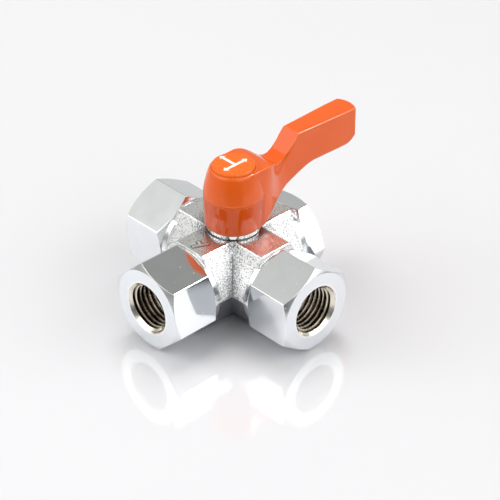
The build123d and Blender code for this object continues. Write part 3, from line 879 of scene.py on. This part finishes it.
def make_handle():
    mesh = remeshed("lever", "lever_handle", LEVER_VOXEL)
    points = points_of(mesh)
    normals = normals_of(mesh)
    above = points[:, 2] / MM - BELT
    near = np.hypot(points[:, 0], points[:, 1]) < HUB_REACH * MM
    upright = np.abs(normals[:, 2]) < HUB_LEAN
    outward = (points[:, :2] * normals[:, :2]).sum(1) > 0
    hub = near & upright & outward
    groove = np.where(hub, BELT_DEPTH * np.exp(-((above / BELT_WIDTH) ** 2)), 0)
    inward = normals * (groove + scoop(points, normals))[:, None]
    mesh.vertices.foreach_set("co", (points - inward * MM).ravel())
    mesh.update()
    # the edge value places the paint's painted highlight on convex edges
    set_attribute(mesh, "edge", convexity(mesh, LEVER_SHARP))
    set_attribute(mesh, "satin", (hub & (above > 0)).astype(float))
    # painted shade on the hub's skirt below the belt
    set_attribute(mesh, "below_belt", (hub & (above < 0)).astype(float) * BELOW_BELT_SHADE)
    add_piece("lever", mesh, "handle", (PAINT,), "lever_handle")


# ---- T arrow printed on the indicator cap ----

ARROW_HALF = 4.0
ARROW_BAR = 0.68
ARROW_TIP = -5.0
ARROW_LINE = 0.42
ARROW_HEAD = 1.15
ARROW_HEAD_HALF = 1.0
ARROW_THICKNESS = 0.05
ARROW_SINK = 0.01
ARROW_ROUNDING = 0.02


def arrow_end(tip, direction):
    """Corners of an arrow's end, from one side of its line round the tip to the other."""
    side = Vector((-direction.y, direction.x))
    neck = tip - direction * ARROW_HEAD
    return [
        neck - side * ARROW_LINE,
        neck - side * ARROW_HEAD_HALF,
        tip,
        neck + side * ARROW_HEAD_HALF,
        neck + side * ARROW_LINE,
    ]


def make_arrow():
    """The T arrow: two points across the bar and one at the end of its stem."""
    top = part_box("indicator_cap")[1].z
    outline = arrow_end(Vector((ARROW_BAR, ARROW_HALF)), Vector((0, 1)))
    outline.append(Vector((ARROW_BAR - ARROW_LINE, ARROW_LINE)))
    outline += arrow_end(Vector((ARROW_TIP, 0)), Vector((-1, 0)))
    outline.append(Vector((ARROW_BAR - ARROW_LINE, -ARROW_LINE)))
    outline += arrow_end(Vector((ARROW_BAR, -ARROW_HALF)), Vector((0, -1)))
    form = bmesh.new()
    level = top - ARROW_SINK * MM
    base = form.faces.new([form.verts.new((point.x * MM, point.y * MM, level)) for point in outline])
    raised = bmesh.ops.extrude_face_region(form, geom=[base])
    moved = [item for item in raised["geom"] if isinstance(item, bmesh.types.BMVert)]
    bmesh.ops.translate(form, verts=moved, vec=(0, 0, ARROW_THICKNESS * MM))
    bmesh.ops.recalc_face_normals(form, faces=form.faces)
    mesh = bpy.data.meshes.new("flow_arrow")
    form.to_mesh(mesh)
    piece = add_piece("flow_arrow", mesh, "handle", (INK,), None)
    rounding = piece.modifiers.new("rounding", "BEVEL")
    rounding.width = ARROW_ROUNDING * MM
    rounding.segments = 2


# ---- CAD nodes that keep their shape ----


def finish_nodes():
    """Gives each CAD node that stays its own finish."""
    finishes = {
        "gland_nut": GLAND,
        "ball": CHROME,
        "indicator_cap": CAP,
        "stem": BRASS,
        "handle_screw": STEEL,
        "spring_washer": STEEL,
        "thrust_washer": PTFE,
    }
    for name, node in NODES.items():
        finish = finishes.get(name)
        if name.endswith("_seat"):
            finish = PTFE
        if "o_ring" in name:
            finish = RUBBER
        if finish:
            node.data.materials.clear()
            node.data.materials.append(finish)


# ---- Floor, light and camera ----

# the walls' brightness at heights from the horizon, 0, to straight up, 1
WALL_STOPS = ((0.0, 0.36), (0.2, 0.46), (0.55, 0.62), (0.78, 0.56), (1.0, 0.45))
WALL_BLUE = 0.95
# softly lighter and darker parts of the walls: start and full are the cosines of the angle
# from the tone's middle where it begins and where it reaches its factor
WALL_TONES = (
    {"azimuth": 197, "elevation": 54, "start": 0.8, "full": 0.97, "factor": 0.66},
    {"azimuth": -45, "elevation": 38, "start": 0.85, "full": 0.96, "factor": 1.5},
    {"azimuth": 46, "elevation": 22, "start": 0.55, "full": 0.94, "factor": 0.3},
)
# metres and degrees
FLOOR_REACH = 3.0
CAMERA_PLACE = (0.33684, -0.31537, 0.31872)
CAMERA_AZIMUTH = 46.382
CAMERA_ELEVATION = 34.329
CAMERA_LENS = 159.5
CAMERA_SENSOR = 36
FLAG_AZIMUTH = 50
FLAG_DISTANCE = 0.085
FLAG_HALF_WIDTH = 0.05
FLAG_BOTTOM = -0.012
FLAG_TOP = 0.03


def make_floor():
    """A pale glossy board under the valve."""
    pale, paler = (0.775, 0.775, 0.80), (0.79, 0.785, 0.815)
    form = bmesh.new()
    bmesh.ops.create_grid(form, x_segments=4, y_segments=4, size=FLOOR_REACH)
    mesh = bpy.data.meshes.new("floor")
    form.to_mesh(mesh)
    floor = bpy.data.objects.new("floor", mesh)
    bpy.context.scene.collection.objects.link(floor)
    floor.location.z = CAD_BOX[0][2]
    board = Surface("floor_board", colour=(0.78, 0.78, 0.81), roughness=0.08)
    board.paint(board.colour(board.noise(size=300.0), pale, paler))
    board.shader.inputs["IOR"].default_value = 1.7
    mesh.materials.append(board.material)


def direction_of(azimuth, elevation):
    """Unit vector towards an azimuth, 0 at the front and 90 at the right, and an elevation."""
    a, e = math.radians(azimuth), math.radians(elevation)
    return Vector((math.sin(a) * math.cos(e), -math.cos(a) * math.cos(e), math.sin(e)))


def softbox(name, azimuth, elevation, distance, width, height, radiance, seen_by="both"):
    """An area light, seen by "both", by "diffuse" surfaces alone or in "glossy" reflections alone."""
    light = bpy.data.lights.new(name, "AREA")
    light.shape = "RECTANGLE"
    light.size = width
    light.size_y = height
    light.energy = math.pi * radiance * width * height
    lamp = bpy.data.objects.new(name, light)
    towards = direction_of(azimuth, elevation)
    lamp.location = towards * distance
    lamp.rotation_euler = towards.to_track_quat("Z", "Y").to_euler()
    lamp.visible_diffuse = seen_by != "glossy"
    lamp.visible_glossy = seen_by != "diffuse"
    bpy.context.scene.collection.objects.link(lamp)


def make_lights():
    """Two wide keys, a fill and an overhead light kept out of reflections, and a small accent."""
    softbox("key_right", 108, 33, distance=0.9, width=1.5, height=0.7, radiance=1.6)
    softbox("fill_left", -50, 20, distance=0.9, width=0.6, height=0.6, radiance=1.5, seen_by="diffuse")
    softbox("key_left", -20, 38, distance=0.9, width=1.0, height=0.6, radiance=1.45)
    softbox("overhead", 226, 70, distance=1.0, width=0.5, height=0.5, radiance=4.9, seen_by="diffuse")
    softbox("accent", 158, 52, distance=0.85, width=0.22, height=0.22, radiance=24.0, seen_by="glossy")


def make_flag():
    """A dark card that only reflections see, low down beside the camera, as round a light tent."""
    towards = direction_of(FLAG_AZIMUTH, 0)
    aside = Vector((-towards.y, towards.x, 0))
    middle = towards * FLAG_DISTANCE
    form = bmesh.new()
    left, right = -aside * FLAG_HALF_WIDTH, aside * FLAG_HALF_WIDTH
    bottom, top = UP * FLAG_BOTTOM, UP * FLAG_TOP
    corners = (left + bottom, right + bottom, right + top, left + top)
    form.faces.new([form.verts.new(middle + corner) for corner in corners])
    mesh = bpy.data.meshes.new("flag")
    form.to_mesh(mesh)
    flag = bpy.data.objects.new("flag", mesh)
    bpy.context.scene.collection.objects.link(flag)
    cloth = Surface("flag_cloth", colour=(0.12, 0.12, 0.12), roughness=0.9)
    mesh.materials.append(cloth.material)
    flag.visible_camera = False
    flag.visible_diffuse = False
    flag.visible_shadow = False
    flag.visible_transmission = False


def toned(tree, place, colour, azimuth, elevation, start, full, factor):
    """The surroundings' colour, times factor towards one direction, with a soft edge."""
    nearness = tree.nodes.new("ShaderNodeVectorMath")
    nearness.operation = "DOT_PRODUCT"
    nearness.inputs[1].default_value = direction_of(azimuth, elevation)
    tree.links.new(place, nearness.inputs[0])
    shade = tree.nodes.new("ShaderNodeMapRange")
    set_range(shade, low=start, high=full, at_low=1.0, at_high=factor)
    tree.links.new(nearness.outputs["Value"], shade.inputs["Value"])
    scaled = tree.nodes.new("ShaderNodeVectorMath")
    scaled.operation = "SCALE"
    tree.links.new(colour, scaled.inputs[0])
    tree.links.new(shade.outputs["Result"], scaled.inputs["Scale"])
    return scaled.outputs["Vector"]


def make_surroundings():
    """A soft grey studio, palest halfway up its walls."""
    world = bpy.data.worlds.new("studio")
    bpy.context.scene.world = world
    world.use_nodes = True
    tree = world.node_tree
    place = tree.nodes.new("ShaderNodeTexCoord")
    split = tree.nodes.new("ShaderNodeSeparateXYZ")
    tree.links.new(place.outputs["Generated"], split.inputs[0])
    ramp = tree.nodes.new("ShaderNodeValToRGB")
    tree.links.new(split.outputs["Z"], ramp.inputs["Fac"])
    elements = ramp.color_ramp.elements
    while len(elements) < len(WALL_STOPS):
        elements.new(0.5)
    for element, (height, level) in zip(elements, WALL_STOPS):
        element.position = height
        element.color = (level, level, level * WALL_BLUE, 1)
    colour = ramp.outputs["Color"]
    for tone in WALL_TONES:
        colour = toned(tree, place.outputs["Generated"], colour, **tone)
    background = tree.nodes["Background"]
    tree.links.new(colour, background.inputs["Color"])
    background.inputs["Strength"].default_value = 1.0


def make_camera():
    """The camera at the photograph's viewing angle."""
    data = bpy.data.cameras.new("camera")
    data.sensor_width = CAMERA_SENSOR
    data.lens = CAMERA_LENS
    camera = bpy.data.objects.new("camera", data)
    bpy.context.scene.collection.objects.link(camera)
    camera.location = CAMERA_PLACE
    camera.rotation_euler = (math.radians(90 - CAMERA_ELEVATION), 0, math.radians(CAMERA_AZIMUTH))
    bpy.context.scene.camera = camera


make_camera()
make_floor()
make_surroundings()
make_flag()
make_lights()
for port in ("front", "right", "left"):
    make_port_end(port)
make_blind_plug()
make_body()
make_handle()
make_arrow()
finish_nodes()
bpy.context.scene.view_settings.view_transform = "Standard"
